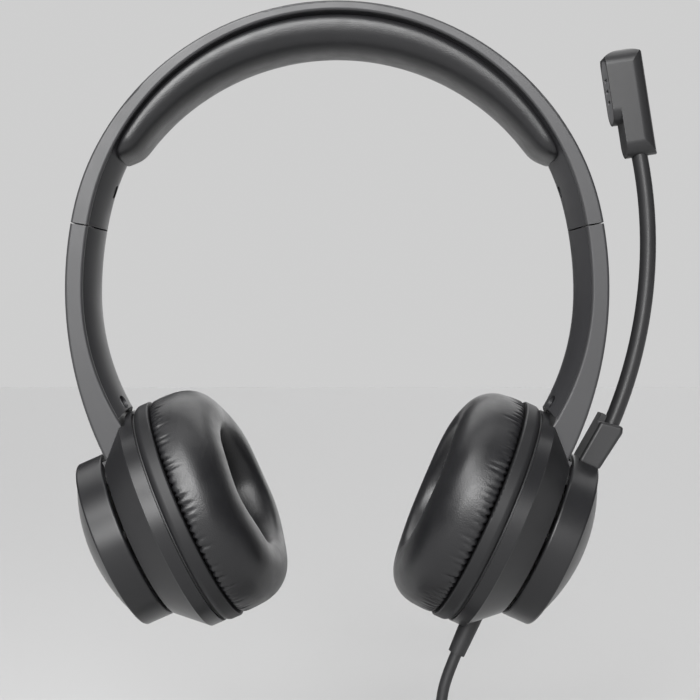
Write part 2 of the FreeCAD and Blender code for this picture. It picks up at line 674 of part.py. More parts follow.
def microphone_face():
    """The inner face, with three short slots in front of the capsule."""
    face = lozenge(MIC_INNER, MIC_INNER + MIC_FACE_THICKNESS, MIC_STEP_LEVEL + MIC_FACE_MARGIN,
                   MIC_TOP - MIC_FACE_MARGIN, MIC_DEPTH - 2 * MIC_FACE_MARGIN, MIC_CORNER - MIC_FACE_MARGIN)
    for level in MIC_HOLES:
        slot = lozenge(MIC_INNER, MIC_INNER + MIC_FACE_THICKNESS, level - MIC_HOLE_RADIUS,
                       level + MIC_HOLE_RADIUS, 2 * (MIC_HOLE_HALF_LENGTH + MIC_HOLE_RADIUS),
                       MIC_HOLE_RADIUS - MIC_HOLE_END_FLAT)
        face = face.cut(slot)
    return face


def microphone_housing():
    """The head: a thick upper block with a domed top, and a thinner foot that holds the boom."""
    upper = lozenge(MIC_INNER, MIC_OUTER, MIC_STEP_LEVEL, MIC_TOP + MIC_DOME, MIC_DEPTH, MIC_CORNER)
    lower = lozenge(MIC_STEP, MIC_OUTER, MIC_BOTTOM, MIC_STEP_LEVEL + MIC_DEPTH, MIC_DEPTH, MIC_CORNER)
    half_chord = (MIC_OUTER - MIC_INNER) / 2
    dome_radius = (half_chord ** 2 + MIC_DOME ** 2) / (2 * MIC_DOME)
    dome_base = V(MIC_INNER + half_chord, -MIC_DEPTH / 2, MIC_TOP + MIC_DOME - dome_radius)
    dome = Part.makeCylinder(dome_radius, MIC_DEPTH, dome_base, Y_AXIS)
    below_top = Part.makeBox(4 * half_chord, MIC_DEPTH, MIC_TOP - MIC_BOTTOM,
                             V(MIC_INNER - half_chord, -MIC_DEPTH / 2, MIC_BOTTOM))
    body = fused([upper, lower]).common(fused([dome.common(upper), below_top]))
    tall = 2 * (MIC_TOP - MIC_BOTTOM)
    column = Part.makeBox(MIC_OUTER - MIC_INNER, MIC_DEPTH, tall,
                          V(MIC_INNER, -MIC_DEPTH / 2, MIC_BOTTOM - tall / 4))
    column = filleted(column, MIC_FRONT_ROUND, lambda edge: edge.BoundBox.XMin > MIC_OUTER - TINY
                      and edge.BoundBox.ZLength > tall / 2)
    return body.common(column)


def microphone(nodes):
    boom = microphone_boom()
    nodes["mic_boom"] = boom
    nodes["boom_bracket"] = boom_bracket(boom)
    face = microphone_face()
    middle = (MIC_STEP_LEVEL + MIC_TOP) / 2
    back = MIC_INNER + MIC_FACE_THICKNESS
    space = CAPSULE_SPACE + CAPSULE_LENGTH
    cavity = Part.makeCylinder(CAPSULE_RADIUS + CAPSULE_PLAY, space, V(back, 0, middle), X_AXIS)
    capsule = Part.makeCylinder(CAPSULE_RADIUS, CAPSULE_LENGTH, V(back + CAPSULE_SPACE, 0, middle), X_AXIS)
    body = microphone_housing().cut(lozenge(
        MIC_INNER, back, MIC_STEP_LEVEL + MIC_FACE_MARGIN, MIC_TOP - MIC_FACE_MARGIN,
        MIC_DEPTH - 2 * MIC_FACE_MARGIN, MIC_CORNER - MIC_FACE_MARGIN)).cut(cavity)
    nodes["mic_housing"] = in_mic(body).cut(boom)
    nodes["mic_face"] = in_mic(face)
    nodes["mic_capsule"] = in_mic(capsule)


# ---------------------------------------------------------------- cord

def cord_tube(route, diameter):
    """Straight runs joined by tangent arcs, each as large as its two runs allow."""
    edges = []
    radii = []
    start = route[0]
    for before, corner, after in zip(route, route[1:], route[2:]):
        back = (before - corner).normalize()
        ahead = (after - corner).normalize()
        reach = CORD_BEND_REACH * min(before.distanceToPoint(corner), after.distanceToPoint(corner))
        half_turn = (math.pi - back.getAngle(ahead)) / 2
        radius = reach / math.tan(half_turn)
        radii.append(radius)
        centre = corner + (back + ahead).normalize() * (radius / math.cos(half_turn))
        enter = corner + back * reach
        leave = corner + ahead * reach
        middle = centre + (corner - centre).normalize() * radius
        edges.append(Part.makeLine(start, enter))
        edges.append(Part.Arc(enter, middle, leave).toShape())
        start = leave
    edges.append(Part.makeLine(start, route[-1]))
    path = Part.Wire(edges)
    circle = Part.Wire(Part.makeCircle(diameter / 2, route[0], route[1] - route[0]))
    tube = path.makePipeShell([circle], True, False)
    return tube, path.Length, radii


def cord(nodes):
    tube, length, radii = cord_tube(CORD_ROUTE, CORD_DIAMETER)
    section = math.pi * CORD_DIAMETER ** 2 / 4
    print("cord radii", [round(radius, 1) for radius in radii])
    print("cord run", round(length, 1), "volume ratio", round(tube.Volume / (section * length), 4))
    half = COIL_LAYERS * CORD_DIAMETER / 2
    inner = COIL_MEAN_RADIUS - half
    outer = COIL_MEAN_RADIUS + half
    base = COIL_CENTRE - Y_AXIS * half
    coil = Part.makeCylinder(outer, 2 * half, base, Y_AXIS)
    coil = coil.cut(Part.makeCylinder(inner, 2 * half, base, Y_AXIS))
    turns = COIL_LAYERS * COIL_LAYERS
    print("coil length", round(turns * 2 * math.pi * COIL_MEAN_RADIUS, 1), "turns", turns)
    nodes["cord"] = tube.cut(coil)
    nodes["cord_coil"] = coil

    reach = half + TIE_THICKNESS
    tie = Part.makeBox(2 * reach, 2 * reach, 2 * TIE_HALF_LENGTH,
                       V(COIL_CENTRE.x - COIL_MEAN_RADIUS - reach, -reach, COIL_CENTRE.z - TIE_HALF_LENGTH))
    nodes["cord_tie"] = tie.cut(coil)

    usb_plug(nodes, half - CORD_DIAMETER / 2, COIL_CENTRE.z - outer, coil)


def usb_plug(nodes, y, floor, coil):
    """The plug lies on the floor behind the coil: its overmould, metal shell and tongue."""
    middle = floor + PLUG_HALF_HEIGHT
    body = Part.makeBox(PLUG_START - PLUG_BODY_END, 2 * PLUG_HALF_WIDTH, 2 * PLUG_HALF_HEIGHT,
                        V(PLUG_BODY_END, y - PLUG_HALF_WIDTH, floor))
    body = body.makeFillet(PLUG_EDGE_RADIUS, body.Edges)
    relief = Part.makeCone(PLUG_RELIEF_RADII[0], PLUG_RELIEF_RADII[1], PLUG_RELIEF_LENGTH,
                           V(PLUG_START, y, middle - PLUG_RELIEF_DROP), X_AXIS)
    nodes["usb_plug_body"] = fused([body, relief]).cut(coil)
    inside = USB_WIDTH / 2 - USB_WALL
    bottom = middle - USB_HEIGHT / 2 + USB_WALL
    shell = Part.makeBox(PLUG_BODY_END - PLUG_SHELL_END, USB_WIDTH, USB_HEIGHT,
                         V(PLUG_SHELL_END, y - USB_WIDTH / 2, middle - USB_HEIGHT / 2))
    hollow = Part.makeBox(USB_TONGUE_LENGTH, 2 * inside, USB_HEIGHT - 2 * USB_WALL,
                          V(PLUG_SHELL_END, y - inside, bottom))
    nodes["usb_plug_shell"] = shell.cut(hollow)
    nodes["usb_plug_tongue"] = Part.makeBox(USB_TONGUE_LENGTH, 2 * inside, USB_TONGUE_HEIGHT,
                                            V(PLUG_SHELL_END, y - inside, bottom))


# ---------------------------------------------------------------- whole headset

def main():
    nodes = {}
    headband(nodes)
    nodes["headband_pad"] = headband_pad()
    arm(nodes)
    cap(nodes)
    cup(nodes)
    microphone(nodes)
    cord(nodes)
    os.makedirs("parts", exist_ok=True)
    for name, shape in nodes.items():
        if not shape.isValid():
            print("not valid:", name)
        shape.exportStep("parts/" + name + ".step")
    print(len(nodes), "nodes; more than one solid:", [n for n in nodes if len(nodes[n].Solids) != 1])


main()
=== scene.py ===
import json
import math
import random

import bpy
import numpy as np
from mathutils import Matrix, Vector


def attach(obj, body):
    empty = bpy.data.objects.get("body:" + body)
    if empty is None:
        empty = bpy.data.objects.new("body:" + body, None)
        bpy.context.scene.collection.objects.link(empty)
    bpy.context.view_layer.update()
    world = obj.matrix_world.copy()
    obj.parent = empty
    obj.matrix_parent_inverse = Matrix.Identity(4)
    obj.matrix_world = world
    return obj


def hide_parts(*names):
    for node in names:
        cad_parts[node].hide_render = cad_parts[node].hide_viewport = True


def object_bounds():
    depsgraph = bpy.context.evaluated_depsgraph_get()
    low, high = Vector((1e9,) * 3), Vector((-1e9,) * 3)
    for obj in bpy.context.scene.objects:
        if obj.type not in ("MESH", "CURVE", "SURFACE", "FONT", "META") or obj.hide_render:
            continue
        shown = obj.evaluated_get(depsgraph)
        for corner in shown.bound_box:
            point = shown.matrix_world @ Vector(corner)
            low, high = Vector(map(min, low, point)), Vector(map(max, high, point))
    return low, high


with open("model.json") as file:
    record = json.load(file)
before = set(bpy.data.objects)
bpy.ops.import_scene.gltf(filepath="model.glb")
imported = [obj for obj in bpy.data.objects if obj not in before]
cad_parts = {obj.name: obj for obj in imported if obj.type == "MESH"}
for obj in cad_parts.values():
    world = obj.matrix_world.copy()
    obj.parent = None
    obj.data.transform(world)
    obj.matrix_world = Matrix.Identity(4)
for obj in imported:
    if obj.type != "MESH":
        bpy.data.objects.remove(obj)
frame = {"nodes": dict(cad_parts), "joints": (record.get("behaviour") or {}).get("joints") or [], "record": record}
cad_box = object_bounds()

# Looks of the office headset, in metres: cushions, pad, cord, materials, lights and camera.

# ---------------------------------------------------------------- sizes

CAMERA_PLACE = Vector((0.0038, -0.445, -0.089))
CAMERA_LENS = 74.90
FLOOR_REACH = 6.0
FLOOR_TONE = 0.52
BACKDROP = 0.62
SURROUND = (0.055, 0.055, 0.057, 1.0)
SENSOR_WIDTH = 36.0
NEAREST_SEEN = 0.01
CORD_DIAMETER = 0.0035
CORD_RADIUS = CORD_DIAMETER / 2

JOINTS = {joint["name"]: joint for joint in frame["joints"]}
CUP_CENTRE = Vector(JOINTS["mic_rotation"]["pos_m"])
CUP_INWARD = Vector(JOINTS["mic_rotation"]["axis"]).normalized()
CUP_UP = Vector(JOINTS["left_swivel"]["axis"]).normalized()


def mirror_x(point):
    return Vector((-point[0], point[1], point[2]))


def cup_point(axial, front_back, radial, side="left"):
    """A point of an ear cup's own frame, placed in the headset."""
    point = CUP_CENTRE + CUP_INWARD * axial + CUP_UP * radial + Vector((0, front_back, 0))
    return point if side == "left" else mirror_x(point)


# ---------------------------------------------------------------- node helpers

class Material:
    """A node material under construction: a Principled shader and what feeds it."""

    def __init__(self, name, colour, roughness, **sockets):
        self.material = bpy.data.materials.new(name)
        self.material.use_nodes = True
        self.tree = self.material.node_tree
        self.shader = self.tree.nodes["Principled BSDF"]
        self.shader.inputs["Base Color"].default_value = (*colour, 1.0)
        self.shader.inputs["Roughness"].default_value = roughness
        for socket, value in sockets.items():
            self.shader.inputs[socket.replace("_", " ")].default_value = value
        self.coordinates = self.tree.nodes.new("ShaderNodeTexCoord").outputs["Object"]
        self.height = None

    def link(self, output, target):
        self.tree.links.new(output, target)

    def node(self, kind, **values):
        made = self.tree.nodes.new(kind)
        for key, value in values.items():
            if key in made.inputs:
                made.inputs[key].default_value = value
            else:
                setattr(made, key, value)
        return made

    def noise(self, scale, detail=3.0, roughness=0.55):
        made = self.node("ShaderNodeTexNoise")
        made.inputs["Scale"].default_value = scale
        made.inputs["Detail"].default_value = detail
        made.inputs["Roughness"].default_value = roughness
        self.link(self.coordinates, made.inputs["Vector"])
        return made.outputs["Fac"]

    def cells(self, scale, feature="DISTANCE_TO_EDGE"):
        made = self.node("ShaderNodeTexVoronoi")
        made.feature = feature
        made.inputs["Scale"].default_value = scale
        self.link(self.coordinates, made.inputs["Vector"])
        return made.outputs["Distance"]

    def remap(self, value, low, high, from_low=0.0, from_high=1.0):
        made = self.node("ShaderNodeMapRange")
        made.inputs["From Min"].default_value = from_low
        made.inputs["From Max"].default_value = from_high
        made.inputs["To Min"].default_value = low
        made.inputs["To Max"].default_value = high
        self.link(value, made.inputs["Value"])
        return made.outputs["Result"]

    def vary_roughness(self, value, low, high):
        eased = self.remap(value, low, high, 0.15, 0.85)
        eased.node.interpolation_type = "SMOOTHSTEP"
        self.link(eased, self.shader.inputs["Roughness"])

    def vary_colour(self, value, dark, light):
        ramp = self.node("ShaderNodeValToRGB")
        ramp.color_ramp.interpolation = "EASE"
        ramp.color_ramp.elements[0].position = 0.25
        ramp.color_ramp.elements[1].position = 0.75
        ramp.color_ramp.elements[0].color = (*dark, 1.0)
        ramp.color_ramp.elements[1].color = (*light, 1.0)
        self.link(value, ramp.inputs["Fac"])
        self.link(ramp.outputs["Color"], self.shader.inputs["Base Color"])

    def bump(self, value, strength, distance):
        """Adds a layer of relief: a height between 0 and 1, distance metres deep."""
        made = self.node("ShaderNodeBump")
        made.inputs["Strength"].default_value = strength
        made.inputs["Distance"].default_value = distance
        self.link(value, made.inputs["Height"])
        if self.height is not None:
            self.link(self.height, made.inputs["Normal"])
        self.height = made.outputs["Normal"]
        self.link(self.height, self.shader.inputs["Normal"])
        return self


def moulded(name, colour, roughness, grain=2600.0, depth=0.00003, **sockets):
    """Moulded plastic with a fine spark-eroded grain and a slight unevenness in its gloss."""
    made = Material(name, colour, roughness, **sockets)
    made.vary_roughness(made.noise(60.0, 4.0), roughness - 0.04, roughness + 0.05)
    lighter = tuple(channel * 1.12 for channel in colour)
    made.vary_colour(made.noise(25.0, 3.0), colour, lighter)
    made.bump(made.noise(grain, 2.0, 0.6), 0.35, depth)
    return made.material


def leatherette(name, colour, roughness):
    """Soft coated fabric: fine pebbled grain over broad, faint creases."""
    made = Material(name, colour, roughness)
    made.shader.inputs["Coat Weight"].default_value = 0.06
    made.shader.inputs["Coat Roughness"].default_value = 0.32
    made.vary_roughness(made.noise(180.0, 4.0), roughness - 0.05, roughness + 0.08)
    lighter = tuple(channel * 1.25 for channel in colour)
    made.vary_colour(made.noise(70.0, 4.0), colour, lighter)
    made.bump(made.noise(320.0, 3.0), 0.30, 0.00012)
    made.bump(made.remap(made.cells(1500.0), 0.0, 1.0, 0.0, 0.25), 0.30, 0.00005)
    return made.material


def metal(name, colour, roughness, along=None):
    """Bare or plated metal; along is the direction of its brush lines."""
    made = Material(name, colour, roughness)
    made.shader.inputs["Metallic"].default_value = 1.0
    if along is not None:
        stretch = made.node("ShaderNodeMapping")
        stretch.inputs["Scale"].default_value = along
        made.link(made.coordinates, stretch.inputs["Vector"])
        made.coordinates = stretch.outputs["Vector"]
    made.vary_roughness(made.noise(900.0, 3.0), roughness - 0.06, roughness + 0.08)
    made.bump(made.noise(1400.0, 2.0), 0.25, 0.00002)
    return made.material


def woven(name, colour):
    """Acoustic cloth: a fine plain weave."""
    made = Material(name, colour, 0.85)
    made.shader.inputs["Sheen Weight"].default_value = 0.35
    made.shader.inputs["Sheen Roughness"].default_value = 0.5
    threads = []
    for turn in (0.0, math.pi / 2):
        turned = made.node("ShaderNodeMapping")
        turned.inputs["Rotation"].default_value = (turn, 0.0, 0.0)
        made.link(made.coordinates, turned.inputs["Vector"])
        wave = made.node("ShaderNodeTexWave")
        wave.bands_direction = "Y"
        wave.inputs["Scale"].default_value = 420.0
        wave.inputs["Distortion"].default_value = 0.6
        wave.inputs["Detail Scale"].default_value = 40.0
        made.link(turned.outputs["Vector"], wave.inputs["Vector"])
        threads.append(wave.outputs["Fac"])
    weave = made.node("ShaderNodeMath")
    weave.operation = "MULTIPLY"
    made.link(threads[0], weave.inputs[0])
    made.link(threads[1], weave.inputs[1])
    made.vary_colour(weave.outputs["Value"], tuple(channel * 0.4 for channel in colour), colour)
    made.bump(weave.outputs["Value"], 0.8, 0.0002)
    return made.material


MATERIALS = {
    "shell_plastic": moulded("shell_plastic", (0.036, 0.036, 0.038), 0.40),
    "cover_plastic": moulded("cover_plastic", (0.028, 0.028, 0.030), 0.42, Specular_IOR_Level=0.42),
    "cup_plastic": moulded("cup_plastic", (0.014, 0.014, 0.015), 0.30, depth=0.00002,
                           Specular_IOR_Level=0.40),
    "ring_plastic": moulded("ring_plastic", (0.012, 0.012, 0.013), 0.50, Specular_IOR_Level=0.38),
    "cushion_leatherette": leatherette("cushion_leatherette", (0.010, 0.010, 0.011), 0.36),
    "mic_plastic": moulded("mic_plastic", (0.022, 0.022, 0.023), 0.36, Specular_IOR_Level=0.42),
    "mic_grille": moulded("mic_grille", (0.16, 0.16, 0.165), 0.45),
    "scrim_fabric": woven("scrim_fabric", (0.030, 0.030, 0.032)),
    "guide_nylon": moulded("guide_nylon", (0.030, 0.030, 0.031), 0.48),
    "bush_nylon": moulded("bush_nylon", (0.62, 0.61, 0.57), 0.40),
    "slide_steel": metal("slide_steel", (0.60, 0.60, 0.61), 0.30, along=(1.0, 1.0, 0.05)),
    "screw_steel": metal("screw_steel", (0.05, 0.05, 0.055), 0.38),
    "magnet_metal": metal("magnet_metal", (0.55, 0.55, 0.56), 0.28),
    "diaphragm_film": moulded("diaphragm_film", (0.50, 0.50, 0.48), 0.22),
    "cord_rubber": moulded("cord_rubber", (0.016, 0.016, 0.017), 0.50, grain=1600.0),
    "tie_plastic": moulded("tie_plastic", (0.020, 0.020, 0.021), 0.55, grain=900.0, depth=0.00008),
    "plug_metal": metal("plug_metal", (0.70, 0.70, 0.71), 0.22, along=(0.05, 1.0, 1.0)),
    "plug_insert": moulded("plug_insert", (0.75, 0.75, 0.74), 0.45),
}


def dress_cad_nodes():
    """Gives every carried-over CAD node the material of its slot in the record."""
    for part in frame["record"]["subparts"]:
        node = frame["nodes"][part["node"]]
        for material_slot in node.material_slots:
            material_slot.material = MATERIALS[part["material_slot"]]
        for face in node.data.polygons:
            face.use_smooth = True


def add_mesh(name, vertices, faces, material):
    mesh = bpy.data.meshes.new(name)
    mesh.from_pydata([tuple(v) for v in vertices], [], faces)
    mesh.materials.append(MATERIALS[material])
    mesh.polygons.foreach_set("use_smooth", [True] * len(mesh.polygons))
    mesh.update()
    obj = bpy.data.objects.new(name, mesh)
    bpy.context.scene.collection.objects.link(obj)
    return obj


def smooth_profile(points, count):
    """Evenly spaced points along a smooth curve through a few (x, y) points."""
    points = np.array(points, float)
    padded = np.vstack([2 * points[0] - points[1], points, 2 * points[-1] - points[-2]])
    fine = []
    for index in range(1, len(padded) - 2):
        p0, p1, p2, p3 = padded[index - 1:index + 3]
        for t in np.linspace(0, 1, 24, endpoint=False):
            fine.append(0.5 * (2 * p1 + (p2 - p0) * t + (2 * p0 - 5 * p1 + 4 * p2 - p3) * t * t
                               + (3 * p1 - p0 - 3 * p2 + p3) * t ** 3))
    fine = np.array(fine + [points[-1]])
    steps = np.concatenate([[0], np.cumsum(np.linalg.norm(np.diff(fine, axis=0), axis=1))])
    wanted = np.linspace(0, steps[-1], count)
    return np.column_stack([np.interp(wanted, steps, fine[:, axis]) for axis in (0, 1)])


# ---------------------------------------------------------------- padded pieces

CLOTH_PRESSURE = 4.0
CLOTH_FRAMES = 20
CUSHION_PUFF = 0.0012
PAD_PUFF = 0.0004
OVERLAP = 3

def grid_faces(columns, rings, closed_rings):
    """The faces of a grid that is closed round its columns, and round its rings too if asked."""
    faces = []
    for column in range(columns):
        a = column * rings
        b = (column + 1) % columns * rings
        for ring in range(rings - 1):
            faces.append((a + ring, a + ring + 1, b + ring + 1, b + ring))
        if closed_rings:
            faces.append((a + rings - 1, a, b, b + rings - 1))
    return faces


def inflate(points, faces, pinned, limit):
    """Blows a closed skin up as cloth, held at its pinned points, and caps how far a point moves."""
    mesh = bpy.data.meshes.new("skin")
    mesh.from_pydata([tuple(point) for point in points], [], faces)
    skin = bpy.data.objects.new("skin", mesh)
    bpy.context.scene.collection.objects.link(skin)
    group = skin.vertex_groups.new(name="held")
    for index, weight in enumerate(pinned):
        if weight > 0:
            group.add([index], float(weight), "REPLACE")
    cloth = skin.modifiers.new("cloth", "CLOTH")
    settings = cloth.settings
    settings.quality = 5
    settings.mass = 0.2
    settings.tension_stiffness = 20
    settings.compression_stiffness = 20
    settings.shear_stiffness = 10
    settings.bending_stiffness = 1.5
    settings.vertex_group_mass = "held"
    settings.use_pressure = True
    settings.uniform_pressure_force = CLOTH_PRESSURE
    settings.effector_weights.gravity = 0
    scene = bpy.context.scene
    for frame_number in range(1, CLOTH_FRAMES + 1):
        scene.frame_set(frame_number)
    evaluated = skin.evaluated_get(bpy.context.evaluated_depsgraph_get())
    moved = np.array([vertex.co[:] for vertex in evaluated.data.vertices])
    skin.modifiers.remove(cloth)
    bpy.data.objects.remove(skin)
    scene.frame_set(1)
    travel = moved - points
    length = np.linalg.norm(travel, axis=1)[:, None]
    return points + travel * np.minimum(1.0, limit / np.maximum(length, 1e-9))


def refined(points, columns, rings, finer, deeper):
    """A grid closed round its columns, with more of both, read along smooth curves through it."""
    grid = np.asarray(points).reshape(columns, rings, 3)
    old = np.linspace(0, 1, rings)
    new = np.linspace(0, 1, deeper)
    rows = np.stack([smooth_read(old, grid[:, :, axis].T, new).T for axis in range(3)], axis=2)
    wrapped = np.concatenate([rows[-OVERLAP:], rows, rows[:OVERLAP]])
    old = np.arange(-OVERLAP, len(wrapped) - OVERLAP) / columns
    new = np.arange(finer) / finer
    return np.stack([smooth_read(old, wrapped[:, :, axis], new) for axis in range(3)], axis=2)


def smooth_read(knots, values, wanted):
    """Catmull-Rom reading of evenly spaced rows of values."""
    step = knots[1] - knots[0]
    place = np.clip((wanted - knots[0]) / step, 0, len(knots) - 1)
    index = np.minimum(place.astype(int), len(knots) - 2)
    t = (place - index)[:, None]
    padded = np.concatenate([[2 * values[0] - values[1]], values, [2 * values[-1] - values[-2]]])
    p0, p1, p2, p3 = (padded[index + shift] for shift in range(4))
    return 0.5 * (2 * p1 + (p2 - p0) * t + (2 * p0 - 5 * p1 + 4 * p2 - p3) * t * t
                  + (3 * p1 - p0 - 3 * p2 + p3) * t ** 3)


def grid_normals(grid):
    """Outward unit normals of a grid that is closed round its columns."""
    along = np.roll(grid, -1, axis=0) - np.roll(grid, 1, axis=0)
    across = np.gradient(grid, axis=1)
    normal = np.cross(along, across)
    return normal / np.maximum(np.linalg.norm(normal, axis=2)[:, :, None], 1e-12)


# ---------------------------------------------------------------- ear cushions

CUSHION_PROFILE = (
    (0.0192, 0.0334), (0.0197, 0.0343), (0.0215, 0.0348), (0.0250, 0.0348), (0.0290, 0.0343),
    (0.0325, 0.0329), (0.0353, 0.0305), (0.0371, 0.0272), (0.0377, 0.0238), (0.0374, 0.0208),
    (0.0362, 0.0190), (0.0336, 0.0180), (0.0296, 0.0176), (0.0240, 0.0175), (0.0192, 0.0178),
)
CUSHION_BASE = 0.019
CUSHION_FIT = {"left": (0.90, 0.0), "right": (0.97, 0.10)}
SKIN_COLUMNS = 120
SKIN_RINGS = 32
CUSHION_COLUMNS = 600
CUSHION_RINGS = 66
PLEAT_LENGTH = 0.0058
PLEAT_DEPTH = 0.0010
PLEAT_SPACING = (0.050, 0.078)
SEAM_RINGS = 2
HOLE_RINGS = 8
WAVES = 5
WAVE_COUNTS = (2, 7)
WAVE_HEIGHTS = (0.00006, 0.00014)


def pleat_relief(angles, distances, seed):
    """Depth of the pleats gathered at the seam: narrow creases, deepest and widest at the seam."""
    rng = random.Random(seed)
    relief = np.zeros((len(angles), len(distances)))
    angle = rng.uniform(0, 0.05)
    while angle < 2 * math.pi:
        strength = rng.uniform(0.35, 1.0)
        length = PLEAT_LENGTH * rng.uniform(0.45, 1.35)
        width = rng.uniform(0.010, 0.019)
        lean = rng.uniform(-1.6, 1.6)
        place = (angles[:, None] - angle - lean * distances[None, :] + math.pi) % (2 * math.pi) - math.pi
        fade = np.clip(1 - distances / length, 0, 1) ** 1.3
        narrow = width * (0.45 + 0.55 * fade)[None, :]
        relief += strength * fade[None, :] * np.exp(-(place / narrow) ** 2)
        bulge = np.exp(-((np.abs(place) - 2.0 * width) / (1.2 * width)) ** 2)
        relief -= 0.22 * strength * fade[None, :] * bulge * (distances > 0.0004)[None, :]
        angle += rng.uniform(*PLEAT_SPACING)
    return relief * PLEAT_DEPTH


def ear_cushion(side, seed):
    profile = smooth_profile(CUSHION_PROFILE, SKIN_RINGS)
    height, skew = CUSHION_FIT[side]
    points = []
    for column in range(SKIN_COLUMNS):
        turn = 2 * math.pi * column / SKIN_COLUMNS
        for axial, radius in profile:
            front_back = radius * math.sin(turn)
            rise = axial - CUSHION_BASE
            worn = CUSHION_BASE + rise * (height + skew * front_back / CUSHION_BASE)
            points.append(cup_point(worn, front_back, radius * math.cos(turn), side)[:])
    points = np.array(points)
    faces = grid_faces(SKIN_COLUMNS, SKIN_RINGS, True)
    if side == "right":
        faces = [face[::-1] for face in faces]
    ring = np.arange(len(points)) % SKIN_RINGS
    held = ((ring < SEAM_RINGS) | (ring > SKIN_RINGS - HOLE_RINGS)).astype(float)
    points = inflate(points, faces, held, CUSHION_PUFF)
    grid = refined(points, SKIN_COLUMNS, SKIN_RINGS, CUSHION_COLUMNS, CUSHION_RINGS)
    normals = grid_normals(grid) * (1 if side == "left" else -1)
    steps = np.linalg.norm(np.diff(grid[0], axis=0), axis=1)
    distances = np.concatenate([[0], np.cumsum(steps)])
    angles = np.arange(CUSHION_COLUMNS) * 2 * math.pi / CUSHION_COLUMNS
    relief = pleat_relief(angles, distances, seed)
    rng = random.Random(seed + 7)
    for _ in range(WAVES):
        count = rng.randint(*WAVE_COUNTS)
        wave = np.sin(count * angles + rng.uniform(0, 2 * math.pi)) * rng.uniform(*WAVE_HEIGHTS)
        relief += wave[:, None] * np.sin(math.pi * distances / distances[-1])[None, :]
    grid = grid - normals * relief[:, :, None]
    faces = grid_faces(CUSHION_COLUMNS, CUSHION_RINGS, True)
    if side == "right":
        faces = [face[::-1] for face in faces]
    cushion = add_mesh(side + "_cushion_cover", grid.reshape(-1, 3), faces, "cushion_leatherette")
    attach(cushion, side + "_cup")
    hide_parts(side + "_ear_cushion")
    return cushion


# ---------------------------------------------------------------- headband pad

PAD_INNER_CENTRE = -0.0723
PAD_INNER_RADIUS = 0.0723
PAD_BACK_CENTRE = -0.0628
PAD_BACK_RADIUS = 0.0746
PAD_END = math.radians(65.0)
PAD_HALF_WIDTH = 0.0131
PAD_TRIM = 0.0004
PAD_GAP = 0.00015
CROWN_HEIGHT = 0.0033
CROWN_HALF_WIDTH = 0.01175
PAD_STATIONS = 72
PAD_SECTION = 32
PAD_MIDDLE = 0.30
PAD_SIDE_POWER = 0.6
PAD_UNDERSIDE_POWER = 0.85
PAD_EASING = 0.35
PAD_CLOSING = 0.09
PAD_END_WIDTH = 0.55
PAD_END_THICKNESS = 0.10
PAD_HELD_SHARE = 0.20


def crown_depth(across):
    """How far the crowned inner cover stands out, at a distance from its middle line."""
    return CROWN_HEIGHT * max(0.0, 1 - (across / CROWN_HALF_WIDTH) ** 2)


def pad_section(thickness, narrowing):
    """Hollowed to the crown above, upright at the walls and round below, as (across, depth) pairs."""
    section = []
    middle = PAD_MIDDLE * thickness
    for step in range(PAD_SECTION):
        turn = 2 * math.pi * step / PAD_SECTION
        side = math.copysign(abs(math.sin(turn)) ** PAD_SIDE_POWER, math.sin(turn))
        across = side * PAD_HALF_WIDTH * narrowing
        down = -math.cos(turn)
        top = crown_depth(across) + PAD_GAP
        if down > 0:
            lower = middle + (thickness - middle) * down ** PAD_UNDERSIDE_POWER
            depth = max(lower, top + 2 * PAD_GAP * down)
        else:
            depth = top + (max(middle, top) - top) * (1 - abs(down)) ** 2
        section.append((across, depth))
    return section


def headband_pad():
    """The roll under the crown, with rounded ends that tuck up against the band."""
    points = []
    for station in range(PAD_STATIONS):
        along = 2 * station / (PAD_STATIONS - 1) - 1
        along = math.sin(along * math.pi / 2) * PAD_EASING + along * (1 - PAD_EASING)
        angle = PAD_END * along
        direction = Vector((math.sin(angle), 0, math.cos(angle)))
        back = Vector((0, 0, PAD_BACK_CENTRE)) + direction * PAD_BACK_RADIUS
        reach = (back - Vector((0, 0, PAD_INNER_CENTRE))).length
        thickness = reach - PAD_INNER_RADIUS - PAD_TRIM
        closing = max(0.0, (abs(along) - (1 - PAD_CLOSING)) / PAD_CLOSING)
        round_off = math.sqrt(max(0.0, 1 - closing ** 2))
        narrowing = PAD_END_WIDTH + (1 - PAD_END_WIDTH) * round_off
        left_thick = PAD_END_THICKNESS + (1 - PAD_END_THICKNESS) * round_off
        for across, depth in pad_section(thickness * left_thick, narrowing):
            point = back - direction * depth
            points.append((point.x, across, point.z))
    points = np.array(points)
    faces = []
    for station in range(PAD_STATIONS - 1):
        for step in range(PAD_SECTION):
            a = station * PAD_SECTION + step
            b = station * PAD_SECTION + (step + 1) % PAD_SECTION
            faces.append((a, b, b + PAD_SECTION, a + PAD_SECTION))
    last = (PAD_STATIONS - 1) * PAD_SECTION
    faces.append(tuple(range(PAD_SECTION))[::-1])
    faces.append(tuple(last + step for step in range(PAD_SECTION)))
    step = np.arange(len(points)) % PAD_SECTION
    station = np.arange(len(points)) // PAD_SECTION
    upper = (step < PAD_SECTION * PAD_HELD_SHARE) | (step > PAD_SECTION * (1 - PAD_HELD_SHARE))
    held = (upper | (station < 2) | (station > PAD_STATIONS - 3)).astype(float)
    points = inflate(points, faces, held, PAD_PUFF)
    pad = add_mesh("headband_pad_cover", points, faces, "cushion_leatherette")
    smooth = pad.modifiers.new("smooth", "SUBSURF")
    smooth.levels = smooth.render_levels = 2
    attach(pad, "headband")
    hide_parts("headband_pad")
    return pad


# ---------------------------------------------------------------- cord

